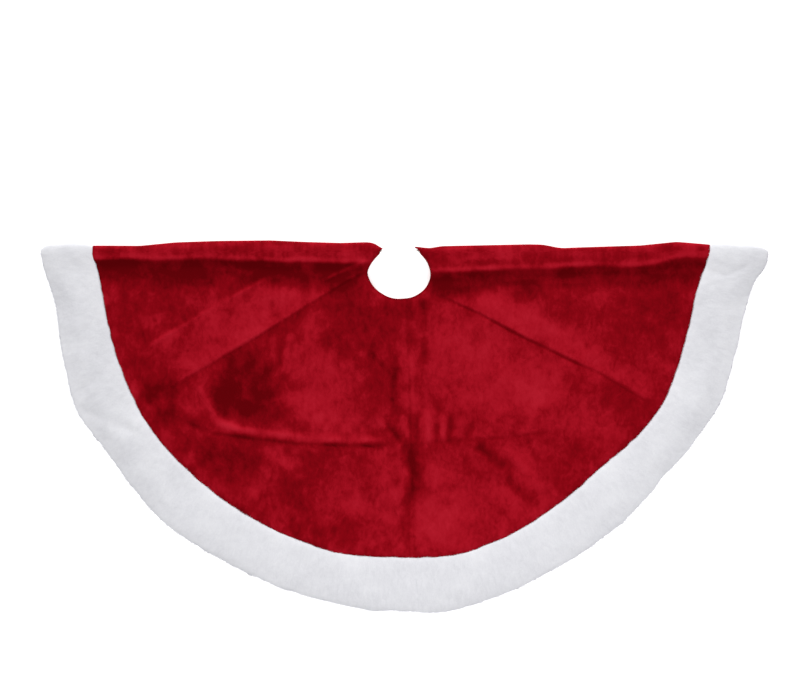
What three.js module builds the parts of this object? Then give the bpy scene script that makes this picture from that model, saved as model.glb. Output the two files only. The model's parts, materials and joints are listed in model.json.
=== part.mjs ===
// Round tree skirt, folded in half along its diameter and lying flat with its plush side out.
// Two half-circle lengths of plush, trim and lining are sewn together down the centre front and
// left open as a slit down the centre back, so the back half is two quarter flaps. Each flap
// hangs on the front half by the cloth that turns round the fold, and opens about the middle of
// that turn until it lies level with the front half.
// Millimetres, +Z up. The cloth lies on z = 0, +Y points to the fold, and the slit is at x = 0.
import * as THREE from "three";

// Sizes of the whole skirt
const skirtRadius = 610;
const trimWidth = 89;
const neckRadius = 50;
const neckOffset = 28; // from the fold's axis to the centre of the trunk hole
const slitGap = 3;

// Thicknesses of the cloths
const trimThickness = 12;
const liningThickness = 0.8;
const threadThickness = 1;
const plushThickness = 4;
const layerGap = 0.4; // half the space between the two trims where they lie on each other
const pressGap = 0.3; // between any two pieces that touch

// Closure pads and label
const padLength = 50;
const padWidth = 25;
const padThickness = 1.6;
const padCornerRadius = 3;
const padInset = 4; // from the slit's edge to the pad
const padEndMargin = 45; // from the neck, and from the trim, to the middle of an end pad
const labelWidth = 30;
const labelLength = 45;
const labelThickness = 0.5;
const labelCornerRadius = 1;
const labelFromSlit = 70; // from the slit to the middle of the label
const seamInset = 4; // from a cloth's edge to its row of stitches
const threadWidth = 1.2;

// Places that follow from the sizes. Each standOff is from the middle of the folded stack.
const plushRadius = skirtRadius - trimWidth;
const stackMiddle = layerGap + trimThickness;
const foldAxisY = (skirtRadius - stackMiddle) / 2; // puts the origin under the middle of the outline
const liningStandOff = padThickness + 2 * pressGap; // leaves room for the hook pads
const threadStandOff = liningStandOff + liningThickness + pressGap;
const plushStandOff = threadStandOff + threadThickness + pressGap;
const plushFace = plushStandOff + plushThickness;
const arcSteps = 24;

const red = new THREE.MeshStandardMaterial({ color: 0x9c0f1c, roughness: 0.85, metalness: 0 });
const white = new THREE.MeshStandardMaterial({ color: 0xe6e6ea, roughness: 0.95, metalness: 0 });
const backing = new THREE.MeshStandardMaterial({ color: 0xe9e6df, roughness: 0.9, metalness: 0 });
const redThread = new THREE.MeshStandardMaterial({ color: 0x8c0d18, roughness: 0.6, metalness: 0 });
const closure = new THREE.MeshStandardMaterial({ color: 0xa01522, roughness: 0.8, metalness: 0 });
const labelCloth = new THREE.MeshStandardMaterial({ color: 0xf4f2ee, roughness: 0.7, metalness: 0 });

// The angles at which an arc meets a flat cloth's edge at the fold, and its edge along the seam or
// slit, which is seamClearance away from x = 0.
const foldY = -pressGap / 2;
const atFold = (radius) => Math.asin(foldY / radius);
const atSeam = (radius, seamClearance) => -Math.acos(seamClearance / radius);

// A quarter of a flat cloth, on +X of the seam or slit and on -Y of the fold's axis. Its outline
// runs out along the fold, round the outer arc, in along the seam, and back round the neck.
function quarterCloth(outerRadius, seamClearance, thickness) {
  const neckAtFold = Math.asin((neckOffset + foldY) / neckRadius);
  const shape = new THREE.Shape();
  shape.moveTo(neckRadius * Math.cos(neckAtFold), foldY);
  shape.absarc(0, 0, outerRadius, atFold(outerRadius), atSeam(outerRadius, seamClearance), true);
  shape.absarc(0, -neckOffset, neckRadius, atSeam(neckRadius, seamClearance), neckAtFold, false);
  return new THREE.ExtrudeGeometry(shape, { depth: thickness, bevelEnabled: false, curveSegments: arcSteps });
}

// A quarter of a ring of cloth or of stitches, between two radii about the fold's axis.
function quarterRing(innerRadius, outerRadius, seamClearance, thickness) {
  const shape = new THREE.Shape();
  shape.absarc(0, 0, outerRadius, atFold(outerRadius), atSeam(outerRadius, seamClearance), true);
  shape.absarc(0, 0, innerRadius, atSeam(innerRadius, seamClearance), atFold(innerRadius), false);
  return new THREE.ExtrudeGeometry(shape, { depth: thickness, bevelEnabled: false, curveSegments: arcSteps });
}

// The stretch of a cloth that turns round the fold: half a tube about the X axis, on its +Y side.
function turnedCloth(innerTurn, outerTurn, fromX, toX) {
  const start = -Math.PI / 2;
  const shape = new THREE.Shape();
  shape.absarc(0, 0, outerTurn, start, -start, false);
  shape.absarc(0, 0, innerTurn, -start, start, true);
  const geometry = new THREE.ExtrudeGeometry(shape, {
    depth: toX - fromX,
    bevelEnabled: false,
    curveSegments: arcSteps / 2,
  });
  // The shape's plane becomes the YZ plane and the extrusion runs along +X.
  geometry.rotateX(Math.PI / 2);
  geometry.rotateZ(Math.PI / 2);
  geometry.translate(fromX, 0, 0);
  return geometry;
}

// A flat patch with rounded corners, centred on its own middle.
function patch(width, length, thickness, cornerRadius) {
  const x = width / 2;
  const y = length / 2;
  const shape = new THREE.Shape();
  shape.absarc(x - cornerRadius, y - cornerRadius, cornerRadius, 0, Math.PI / 2, false);
  shape.absarc(-x + cornerRadius, y - cornerRadius, cornerRadius, Math.PI / 2, Math.PI, false);
  shape.absarc(-x + cornerRadius, -y + cornerRadius, cornerRadius, Math.PI, 1.5 * Math.PI, false);
  shape.absarc(x - cornerRadius, -y + cornerRadius, cornerRadius, 1.5 * Math.PI, 2 * Math.PI, false);
  return new THREE.ExtrudeGeometry(shape, { depth: thickness, bevelEnabled: false, curveSegments: 6 });
}

function piece(name, geometry, material, x = 0, y = 0, z = 0) {
  const mesh = new THREE.Mesh(geometry, material);
  mesh.name = name;
  mesh.position.set(x, y, z);
  return mesh;
}

// One quarter of the skirt, drawn on +X with its plush side up. seamClearance is half the width
// of the seam or slit beside it.
function quarter(half, side, seamClearance) {
  const group = new THREE.Group();
  const name = (part) => `${half}_${part}_${side}`;
  const clothRadius = plushRadius - pressGap;
  const seamRadius = clothRadius - seamInset;
  const plush = quarterCloth(clothRadius, seamClearance, plushThickness);
  const lining = quarterCloth(clothRadius, seamClearance, liningThickness);
  const trim = quarterRing(plushRadius, skirtRadius, seamClearance, trimThickness);
  const stitches = quarterRing(
    seamRadius - threadWidth,
    seamRadius,
    seamClearance + seamInset,
    threadThickness,
  );
  group.add(
    piece(name("plush"), plush, red, 0, 0, plushStandOff),
    piece(name("lining"), lining, backing, 0, 0, liningStandOff),
    piece(name("trim"), trim, white, 0, 0, layerGap),
    piece(name("trim_seam_thread"), stitches, redThread, 0, 0, threadStandOff),
  );
  return group;
}

// The stitches along one edge of the slit, from the neck to the trim.
function slitThread(side) {
  const x = slitGap / 2 + seamInset;
  const neckEnd = -neckOffset - Math.sqrt(neckRadius ** 2 - x ** 2) - seamInset;
  const trimEnd = -plushRadius + 2 * seamInset + threadWidth;
  const geometry = new THREE.BoxGeometry(threadWidth, neckEnd - trimEnd, threadThickness);
  return piece(
    `slit_thread_${side}`,
    geometry,
    redThread,
    x + threadWidth / 2,
    (neckEnd + trimEnd) / 2,
    threadStandOff + threadThickness / 2,
  );
}

// Three closure pads down one edge of the slit. standOff is from the middle of the stack.
function closurePads(kind, standOff) {
  const group = new THREE.Group();
  const x = slitGap / 2 + padInset + padWidth / 2;
  const neckPadY = -neckOffset - neckRadius - padEndMargin;
  const hemPadY = -plushRadius + padEndMargin;
  ["neck", "middle", "hem"].forEach((place, i) => {
    const y = neckPadY + ((hemPadY - neckPadY) * i) / 2;
    const geometry = patch(padWidth, padLength, padThickness, padCornerRadius);
    group.add(piece(`${kind}_pad_${place}`, geometry, closure, x, y, standOff));
  });
  return group;
}

// The stretches of plush, lining and trim that turn round the fold on one side of the neck.
function fold(side) {
  const group = new THREE.Group();
  const neckEdge = Math.sqrt(neckRadius ** 2 - neckOffset ** 2);
  const clothEnd = plushRadius - pressGap;
  const plush = turnedCloth(plushStandOff, plushFace, neckEdge, clothEnd);
  const lining = turnedCloth(liningStandOff, liningStandOff + liningThickness, neckEdge, clothEnd);
  const trim = turnedCloth(layerGap, stackMiddle, plushRadius, skirtRadius);
  group.add(
    piece(`fold_plush_${side}`, plush, red),
    piece(`fold_lining_${side}`, lining, backing),
    piece(`fold_trim_${side}`, trim, white),
  );
  return group;
}

// The stitches that join the two lengths of plush down the centre front.
function centreSeamThread() {
  const neckEnd = -neckOffset - neckRadius - seamInset;
  const trimEnd = -plushRadius + 2 * seamInset + threadWidth;
  const geometry = new THREE.BoxGeometry(threadWidth, neckEnd - trimEnd, threadThickness);
  return piece(
    "centre_seam_thread",
    geometry,
    redThread,
    0,
    (neckEnd + trimEnd) / 2,
    threadStandOff + threadThickness / 2,
  );
}

function careLabel() {
  const y = -plushRadius + seamInset + labelLength;
  const standOff = liningStandOff - pressGap - labelThickness;
  const geometry = patch(labelWidth, labelLength, labelThickness, labelCornerRadius);
  return piece("care_label", geometry, labelCloth, labelFromSlit, y, standOff);
}

// Puts a group that was drawn on +X on the side it belongs to.
function onSide(group, side) {
  group.scale.x = side === "left" ? -1 : 1;
  return group;
}

const frontHalf = new THREE.Group();
for (const side of ["left", "right"]) {
  frontHalf.add(onSide(quarter("front", side, pressGap / 2), side), onSide(fold(side), side));
}
frontHalf.add(centreSeamThread());

// The back half is drawn plush side up as well, and turned over by its group's scale.
const hookFlap = quarter("back", "left", slitGap / 2);
hookFlap.add(slitThread("left"), closurePads("hook", liningStandOff - pressGap - padThickness));
const loopFlap = quarter("back", "right", slitGap / 2);
loopFlap.add(slitThread("right"), closurePads("loop", plushFace + pressGap), careLabel());
const backHalf = new THREE.Group();
backHalf.add(onSide(hookFlap, "left"), onSide(loopFlap, "right"));
backHalf.scale.z = -1;

const treeSkirt = new THREE.Group();
treeSkirt.add(frontHalf, backHalf);
treeSkirt.position.set(0, foldAxisY, stackMiddle);

export default treeSkirt;
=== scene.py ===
import json
import math

import bpy
import numpy as np
from mathutils import Matrix, Vector


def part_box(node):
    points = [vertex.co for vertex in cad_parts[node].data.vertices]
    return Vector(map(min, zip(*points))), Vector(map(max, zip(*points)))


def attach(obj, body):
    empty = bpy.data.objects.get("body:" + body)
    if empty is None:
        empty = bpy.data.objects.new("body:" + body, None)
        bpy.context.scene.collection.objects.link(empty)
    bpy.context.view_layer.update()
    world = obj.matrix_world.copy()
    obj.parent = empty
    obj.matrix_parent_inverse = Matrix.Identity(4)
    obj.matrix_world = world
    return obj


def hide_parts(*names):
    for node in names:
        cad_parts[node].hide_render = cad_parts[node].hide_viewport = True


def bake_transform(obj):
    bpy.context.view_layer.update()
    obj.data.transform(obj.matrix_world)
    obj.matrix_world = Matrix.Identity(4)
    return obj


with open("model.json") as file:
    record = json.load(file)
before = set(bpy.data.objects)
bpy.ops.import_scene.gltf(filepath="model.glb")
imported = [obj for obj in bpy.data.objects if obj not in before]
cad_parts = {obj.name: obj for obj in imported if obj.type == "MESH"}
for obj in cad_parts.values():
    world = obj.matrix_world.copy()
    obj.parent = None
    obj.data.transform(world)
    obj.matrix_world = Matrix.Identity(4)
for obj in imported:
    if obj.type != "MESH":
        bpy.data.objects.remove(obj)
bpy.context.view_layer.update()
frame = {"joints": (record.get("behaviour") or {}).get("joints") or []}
bpy.ops.object.select_all(action="DESELECT")

mm = 0.001
hinge = next(j for j in frame["joints"] if j["name"] == "left_flap_fold")
axisY, axisZ = hinge["pos_m"][1], hinge["pos_m"][2]
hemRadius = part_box("front_trim_right")[1].x / mm
borderWidth = 89

skirt = {
    "radius": hemRadius,
    "redRadius": hemRadius - borderWidth,  # where the border is sewn to the plush
    "neckRadius": 50,
    "neckOffset": 28,  # neck hole's centre, in front of the fold's axis
    "neckStart": {-1: 221, 1: -36},  # where the hole's edge meets the fold, in degrees about its centre
    "hornLength": {-1: 6, 1: 9.5},  # how far the folded cloth closes in over the hole
    "neckSeam": 73,  # where the front seam meets the hole, in degrees about its centre
    "seamAtHem": 29,  # the centre front seam wanders off to the right
    "slitHalf": 1.5,
    "foldFull": 0.66,  # 1 is an ellipse, and less makes the roll of the fold fuller
    "deepest": 12.0,  # the flaps' plush stays this near the middle, so it stays on the floor
    "highest": 15.0,
}

# how far each outline strays from its circle, as (degrees from the right end of the fold, mm)
hemWander = [(0, 28), (1.0, 28), (1.8, 25), (3.0, 16), (4.2, 5), (6, 2), (9, -4), (12, -6), (18, -4),
             (24, 2), (34, -7), (40, -14), (50, -7), (58, -7), (66, -3), (74, 4), (82, 12), (86, 9),
             (90, 4), (94, 6), (102, 0), (120, -3), (130, 4), (146, -5), (154, 7), (161, -4),
             (165, -9), (171, -14), (174.4, -9), (177, -2), (179.3, 3), (180, 6)]
redWander = [(0, 17), (0.4, 15), (2.8, 8), (5.3, 0), (10, -4), (18, -3), (28, 4), (36, 0), (42, -8),
             (47, -14), (54, -10), (62, -5), (68, 0), (78, 8), (83, 6), (90, 2), (102, 5), (112, 1),
             (130, -1), (146, 2), (158, -4), (169, -7), (174, -6), (177.8, -1), (179.5, 6), (180, 7)]
# the same for the neck hole, as (degrees about its own centre, mm)
neckWander = [(-36, -2.3), (-14, 2.4), (10, 7), (32, 6.3), (60, 2.3), (81, -1), (123, -1.7),
              (162, 1.5), (177, 3), (191, -1.6), (209, -6), (221, -7.6)]
# how far the fold reaches past its axis, as (x, mm)
foldReach = [(-620, 5), (-614, 10), (-606, 14), (-571, 16.5), (-527, 15), (-445, 14.5), (-384, 20.5),
             (-311, 23), (-220, 24), (-165, 21.5), (-100, 19.5), (-52, 21), (-40, 19), (-31, 12),
             (-24, 9), (24, 13), (30, 13), (54, 10), (75, 13.8), (226, 17), (250, 16.5), (267, 13),
             (281, 10.4), (313, 11.7), (382, 14), (417, 15), (452, 18.6), (480, 21.5), (535, 17),
             (575, 14), (618, 12), (630, 10.5), (637, 7), (643, 0)]
# how far down the front the roll of the fold reaches before it drops away, as (x, mm)
rollEdge = [(-620, 9), (-400, 9), (-220, 11), (-130, 15), (-60, 15), (30, 31), (80, 31), (150, 28),
            (260, 24), (350, 22), (440, 20), (480, 8), (540, 3), (620, 2)]


def wander(table, at, soften):
    # reads a list of (place, amount) pairs, with its corners softened over a few steps
    places, amounts = zip(*table)
    fine = np.linspace(places[0], places[-1], 1441)
    step = fine[1] - fine[0]
    reach = max(1, int(3 * soften / step))
    kernel = np.exp(-0.5 * (np.arange(-reach, reach + 1) * step / soften) ** 2)
    padded = np.pad(np.interp(fine, places, amounts), reach, mode="edge")
    return np.interp(at, fine, np.convolve(padded, kernel / kernel.sum(), mode="valid"))


def smooth(low, high, value):
    t = np.clip((value - low) / (high - low), 0, 1)
    return t * t * (3 - 2 * t)


def bell(gap, width, power=2):
    # 1 at the middle, fading to 0 within about twice the width
    return np.exp(-((gap / width) ** power))


def cloud(x, v, size, seed):
    # soft seeded bumps about size across, from -1 to 1
    cells = 97
    grid = np.random.default_rng(seed).uniform(-1, 1, (cells, cells))
    turn = 0.6 + seed
    a = (x * math.cos(turn) - v * math.sin(turn)) / size + 300.3
    b = (x * math.sin(turn) + v * math.cos(turn)) / size + 300.7
    i, j = np.floor(a).astype(int), np.floor(b).astype(int)
    p, q = (t * t * t * (t * (t * 6 - 15) + 10) for t in (a - i, b - j))
    i, nextI, j, nextJ = i % cells, (i + 1) % cells, j % cells, (j + 1) % cells
    near = grid[i, j] * (1 - p) + grid[nextI, j] * p
    far = grid[i, nextJ] * (1 - p) + grid[nextI, nextJ] * p
    return near * (1 - q) + far * q


def clouds(x, v, seed, layers):
    # clouds laid over each other, with layers as (amount, size) pairs
    return sum(amount * cloud(x, v, size, seed + k) for k, (amount, size) in enumerate(layers))


def fromLine(x, v, path):
    # signed distance to a line through given points, and the share of the way along it
    best = np.full(x.shape, np.inf)
    signed, along = np.zeros(x.shape), np.zeros(x.shape)
    lengths = [math.dist(a, b) for a, b in zip(path, path[1:])]
    done = 0
    for (ax, av), (bx, bv), length in zip(path, path[1:], lengths):
        ux, uv = (bx - ax) / length, (bv - av) / length
        t = np.clip((x - ax) * ux + (v - av) * uv, 0, length)
        gap = np.hypot(x - ax - t * ux, v - av - t * uv)
        side = np.sign((x - ax) * uv - (v - av) * ux)
        nearer = gap < best
        best = np.where(nearer, gap, best)
        signed = np.where(nearer, gap * side, signed)
        along = np.where(nearer, (done + t) / sum(lengths), along)
        done += length
    return signed, along


def lengthsAlong(points):
    # the length run up to each point of a line
    return np.concatenate([[0], np.cumsum(np.linalg.norm(np.diff(points, axis=0), axis=1))])


def leaned(x, v, degrees):
    # x and v along axes that are turned by some degrees
    c, s = math.cos(math.radians(degrees)), math.sin(math.radians(degrees))
    return x * c + v * s, v * c - x * s


def crease(path, depth, width, shade, left=0, right=0, reach=12, sides=(0, 0)):
    # a crease pressed in by the way the skirt was packed: its path in (x, v), how deep its valley is
    # and how wide, and how much painted shade darkens its valley, a painted highlight below zero. The
    # cloth swells by left and right beside it, and sides paints shade beside it, highlight below zero, both
    # fading within reach.
    return {"path": path, "depth": depth, "width": width, "shade": shade, "left": left, "right": right,
            "reach": reach, "sides": sides}


frontCreases = [
    crease([(60, 66), (144, 105), (212, 141), (313, 190), (348, 205), (462, 274)],
           0.9, 2.5, 0.8, left=2.2, right=0.2, reach=30, sides=(-0.45, 0.1)),
    crease([(-205, 28), (-234, 45), (-320, 92), (-401, 140), (-450, 170)],
           -0.8, 3.6, -0.55, left=0.2, right=-0.8, reach=20, sides=(-0.25, 0.45)),
    crease([(-48, 24), (-110, 60), (-151, 85), (-225, 131), (-272, 159), (-337, 197), (-410, 240)],
           0.0, 4.0, 0.0, left=-0.2, right=1.8, reach=34, sides=(0.7, -0.75)),
    crease([(-48, 10), (-90, 28), (-136, 49)], -0.8, 3.4, -0.8, reach=9, sides=(0.55, 0.3)),
    crease([(-370, 286), (-315, 309), (-284, 312), (-250, 317), (-169, 326), (-80, 329), (6, 331)],
           0.8, 3.0, 0.95, left=1.8, reach=14, sides=(-0.3, 0.35)),
    crease([(-350, 214), (-330, 252), (-310, 286), (-270, 300)], -1.0, 5.5, -1.1),
    crease([(-326, 290), (-286, 299), (-238, 306), (-150, 317)], -1.2, 5.0, -1.2),
    crease([(-190, 312), (-120, 318), (-60, 320), (4, 320)], -0.8, 4.5, -0.7),
    crease([(36, 324), (130, 318), (205, 312), (290, 300)],
           0.4, 4.0, 0.25, left=0.9, reach=14, sides=(-0.3, 0.15)),
    crease([(134, 326), (160, 350), (186, 372)], 2.0, 8, 0.95, left=0.8, right=1.4, reach=18),
    crease([(220, 314), (226, 330), (234, 352)], 1.3, 5, 0.6, left=0.6, right=0.4, reach=14),
    crease([(182, 384), (214, 412), (248, 442)], 1.4, 8, 0.6, left=0.8, right=0.4, reach=18),
    crease([(180, 328), (217, 370), (254, 414)], -1.4, 7, -0.6),
    crease([(30, 320), (29, 370), (27, 404), (20, 440), (21, 534)],
           1.5, 11, 1.1, left=0.4, right=0.4, reach=24, sides=(-0.5, 0.05)),
    crease([(43, 72), (46, 130), (43, 194)], 0.9, 7, 1.0, left=0.4, reach=16),
    crease([(41, 176), (38, 230), (37, 290)], 0.5, 6, 0.55, left=0.2),
    crease([(21, 74), (20, 120), (21, 162)], 0.5, 5, 0.65, left=0.2, right=0.2),
    crease([(-6, 168), (-7, 240), (-3, 296)], 0.7, 6.5, 0.8, left=0.2, right=0.2),
    crease([(-52, 164), (-26, 192), (0, 224)], 0.5, 4, 0.55),
    crease([(14, 140), (20, 210), (16, 280)], -0.7, 10, -0.55),
    crease([(-196, 134), (-200, 160), (-206, 198)], 0.6, 4, 0.5, left=0.2, reach=10),
    crease([(-186, 132), (-188, 160), (-193, 192)], -0.6, 4, -0.4),
    crease([(-178, 258), (-192, 324), (-164, 372)], 1.0, 12, 0.2, left=0.5, right=0.5, reach=22),
]
# short gathers where the creases cross the centre seam: (x, v, lean in degrees, length, height)
frontGathers = [(-7, 306, 38, 50, -1.7), (32, 302, 0, 46, -1.3), (67, 308, -4, 38, -1.3),
                (89, 302, -6, 46, -1.6), (12, 296, 20, 44, 1.0), (52, 298, 0, 54, 1.2),
                (78, 298, -5, 42, 1.1), (106, 300, -12, 36, 1.0), (124, 304, -24, 32, -1.0),
                (-30, 288, 45, 36, 1.0), (-52, 300, 52, 34, -0.8), (58, 344, 20, 40, -0.6),
                (105, 224, 10, 16, -0.9), (66, 262, 10, 30, -0.7)]
# patches where the handled pile lies another way and looks darker, or lighter below zero:
# (x, v, half length, half width, lean in degrees, amount)
frontPatches = [(-262, 234, 62, 54, -20, 1.45), (-236, 262, 34, 40, 0, 0.7), (-402, 254, 34, 50, 0, 1.2),
                (-341, 292, 24, 18, 20, 0.85), (-308, 352, 84, 32, 12, 0.75),
                (-179, 404, 34, 27, 30, 0.65), (-92, 476, 50, 20, 0, 0.45), (-60, 132, 90, 50, 0, 0.4),
                (-52, 232, 40, 60, 10, 0.3), (214, 412, 46, 18, 43, 0.4), (300, 92, 60, 22, 14, 0.45),
                (440, 112, 84, 50, 8, 0.7), (382, 158, 70, 20, 24, 0.35), (395, 250, 58, 22, 30, 0.4),
                (300, 336, 64, 28, -8, 0.4), (-470, 110, 36, 50, 0, 0.3), (-440, 196, 34, 34, 0, 0.3),
                (92, 62, 60, 18, 10, 0.6), (-30, 331, 36, 9, 0, 0.75), (29, 366, 15, 44, 0, 0.85),
                (560, 70, 24, 60, 0, 0.3), (-150, 452, 60, 40, 30, 0.3), (-262, 124, 128, 30, -31, -0.3),
                (150, 190, 150, 72, 26, -0.6), (196, 98, 120, 22, 27, -0.75),
                (120, 470, 200, 70, 0, -0.5), (-137, 222, 58, 58, 0, -0.55),
                (-216, 350, 36, 13, 26, -0.8), (-110, 290, 96, 18, 2, -0.45),
                (-60, 400, 64, 50, 0, -0.25), (76, 410, 30, 84, 0, -0.45), (240, 250, 116, 36, 24, -0.4),
                (330, 186, 90, 26, 27, -0.35)]
leftFlapCreases = [
    crease([(-60, 70), (-180, 190), (-300, 330), (-352, 384)],
           1.4, 4, 0.25, left=2.0, right=0.3, reach=28),
    crease([(-498, 150), (-330, 168), (-150, 182), (-12, 180)],
           1.4, 5, 0.2, left=0.3, right=1.8, reach=18),
    crease([(-400, 318), (-250, 336), (-120, 330), (-10, 338)],
           1.2, 5, 0.2, left=1.6, right=0.2, reach=16),
    crease([(-150, 500), (-168, 420), (-150, 352)], 1.4, 11, 0.2, left=0.7, right=0.7, reach=22),
]
leftFlapPatches = [(-300, 220, 70, 44, -40, 0.5), (-120, 270, 60, 40, 0, -0.4),
                   (-220, 400, 80, 30, 20, 0.4), (-420, 120, 50, 60, 0, 0.3), (-90, 440, 60, 40, 0, -0.3)]
rightFlapCreases = [
    crease([(52, 84), (150, 200), (276, 300), (396, 336)], 1.4, 4, 0.25, left=0.3, right=2.0, reach=26),
    crease([(40, 336), (140, 330), (260, 340), (392, 322)], 1.4, 5, 0.2, left=1.6, right=0.2, reach=16),
    crease([(40, 178), (180, 170), (360, 182), (490, 160)], 1.2, 6, 0.15, left=0.3, right=1.4, reach=20),
    crease([(212, 462), (196, 400), (226, 350)], 1.4, 11, 0.2, left=0.7, right=0.7, reach=22),
]
rightFlapPatches = [(280, 210, 80, 40, 36, -0.4), (140, 300, 60, 36, 10, 0.4),
                    (240, 400, 70, 34, -20, -0.3), (420, 140, 50, 60, 0, 0.35),
                    (110, 440, 50, 44, 0, 0.3)]
shapes = {
    "front": {"creases": frontCreases, "gathers": frontGathers, "patches": frontPatches, "flat": 8.2,
              "crest": 13.8, "trough": 1.6, "seed": 3, "mottle": (0.50, 0.30)},
    "left": {"creases": leftFlapCreases, "gathers": [], "patches": leftFlapPatches, "flat": 8.0,
             "crest": 11.4, "trough": 1.0, "seed": 31, "mottle": (0.3, 0.3)},
    "right": {"creases": rightFlapCreases, "gathers": [], "patches": rightFlapPatches, "flat": 8.0,
              "crest": 11.4, "trough": 1.0, "seed": 57, "mottle": (0.3, 0.3)},
}
# gathers raise the cloth, and their shade paints the valleys darker and the ridges lighter
gather = {"halfWidth": 5.5, "raise": 1.25, "shade": 0.80}
patch = {
    "stray": ((13, 38), (6, 15)),  # how far its outline wanders, as (amount, size)
    "strokes": ((0.75, 36), (0.70, 16)),
    "soft": 1.9,
    "uneven": 0.4,
}


def creased(x, v, shape):
    # heights, and painted shade and highlight, that the creases and gathers add
    height, shade = np.zeros(x.shape), np.zeros(x.shape)
    ragged = 1 + 0.55 * cloud(x, v, 30, shape["seed"] + 7)
    for c in shape["creases"]:
        gap, along = fromLine(x, v, c["path"])
        ends = smooth(0, 0.12, along) * smooth(0, 0.16, 1 - along) * ragged
        away = np.abs(gap)
        leftward = smooth(-3.4, 3.4, gap)
        beside = np.exp(-away / c["reach"])
        swell = (c["left"] * leftward + c["right"] * (1 - leftward)) * beside
        height += ends * (swell - c["depth"] * bell(away, c["width"]))
        # painted shade along the valley and painted highlight along a ridge, then painted light and shade to
        # its two sides
        shade += ends * c["shade"] * bell(away, c["width"] * 1.1)
        leftShade, rightShade = c["sides"]
        shade += ends * (leftShade * leftward + rightShade * (1 - leftward)) * beside
    for middleX, middleV, lean, length, tall in shape["gathers"]:
        across, down = leaned(x - middleX, v - middleV, -lean)
        fold = np.exp(-((across / gather["halfWidth"]) ** 2) - (2 * down / length) ** 4)
        height += gather["raise"] * tall * fold
        # painted shade in a gather's valley, painted highlight on its ridge
        shade -= fold * tall * gather["shade"]
    return height, shade


def patched(x, v, shape):
    # how dark the pile looks where it was stroked or pressed another way
    shade = np.zeros(x.shape)
    seed = shape["seed"] + 21
    strayX = x + clouds(x, v, seed + 5, patch["stray"])
    strayV = v + clouds(x, v, seed + 7, patch["stray"])
    for middleX, middleV, longHalf, wideHalf, lean, amount in shape["patches"]:
        a, b = leaned(strayX - middleX, strayV - middleV, lean)
        a, b = a / longHalf, b / wideHalf
        shade += amount * np.exp(-((a * a + b * b) ** patch["soft"]))
    shade = shade * (1 + patch["uneven"] * cloud(x, v, 21, seed))
    leftward, rightward = shape["mottle"]
    strength = leftward + (rightward - leftward) * smooth(-60, 110, x)
    strokes = clouds(x, v, seed + 1, patch["strokes"])
    return shade + strength * (strokes + 0.55 * cloud(x * 1.4, v * 0.6, 8, seed + 3))


foldRoll = {
    "drop": (-4, 14),  # the cloth comes down over this stretch, from the roll's edge
    "dip": (32, 20),  # where it dips lowest, and how far the dip spreads
    "dark": 1.7,  # how much painted shade lies behind the roll
    "rightLess": 0.35,  # how much less painted shade on the right
    "darkEnd": 50,  # how far from the roll's edge the painted shade ends
    "streaks": 0.45,
    "rollHighlight": 0.55,  # how much painted highlight lies along the roll's edge
}


def foldShape(x, v, shape, edge):
    # the cloth stands high at the fold, drops behind its roll, dips and then runs level, with shade
    # painted into the dip behind the roll and a highlight painted along the roll's edge
    seed = shape["seed"] + 15
    edge = edge + 2.5 * cloud(x, v * 0, 44, seed)
    dropStart, dropEnd = foldRoll["drop"]
    rise = (shape["crest"] - shape["flat"]) * (1 - smooth(edge + dropStart, edge + dropEnd, v))
    dipAt, dipWide = foldRoll["dip"]
    dip = shape["trough"] * bell(v - edge - dipAt, dipWide)
    bottom = edge + foldRoll["darkEnd"] + 12 * cloud(x, v * 0, 60, seed + 1)
    shade = smooth(edge - 2.5, edge + 4, v) * (1 - smooth(bottom - 34, bottom + 8, v))
    shade = shade * (foldRoll["dark"] - foldRoll["rightLess"] * smooth(-60, 60, x))
    shade = shade * smooth(34, 90, np.abs(x))  # none beside the hole
    streaks = foldRoll["streaks"] * cloud(x * 0.22, v, 9, seed + 2) * (1 - smooth(edge + 20, edge + 50, v))
    rollHighlight = -foldRoll["rollHighlight"] * bell(v - edge + 5, 3.5)
    return rise - dip, shade * (1 + 0.25 * cloud(x, v, 40, seed + 3)) + streaks + rollHighlight


def place(x, v, d, turn, reach):
    # puts a point of the cloth in the frame; turn is 90 on the front, -90 on the flap, and between
    # them round the fold, where the cloth swings past the axis by reach
    s, c = np.sin(np.radians(turn)), np.abs(np.cos(np.radians(turn)))
    s, c = np.sign(s) * np.abs(s) ** skirt["foldFull"], c ** skirt["foldFull"]
    return np.stack([x * mm, axisY + (reach * c - v) * mm, axisZ + d * s * mm], axis=-1)


def addObject(name, data):
    piece = bpy.data.objects.new(name, data)
    bpy.context.scene.collection.objects.link(piece)
    return piece


def addMesh(name, points, faces):
    mesh = bpy.data.meshes.new(name)
    mesh.from_pydata(np.asarray(points).reshape(-1, 3).tolist(), [], faces)
    return addObject(name, mesh)


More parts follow.
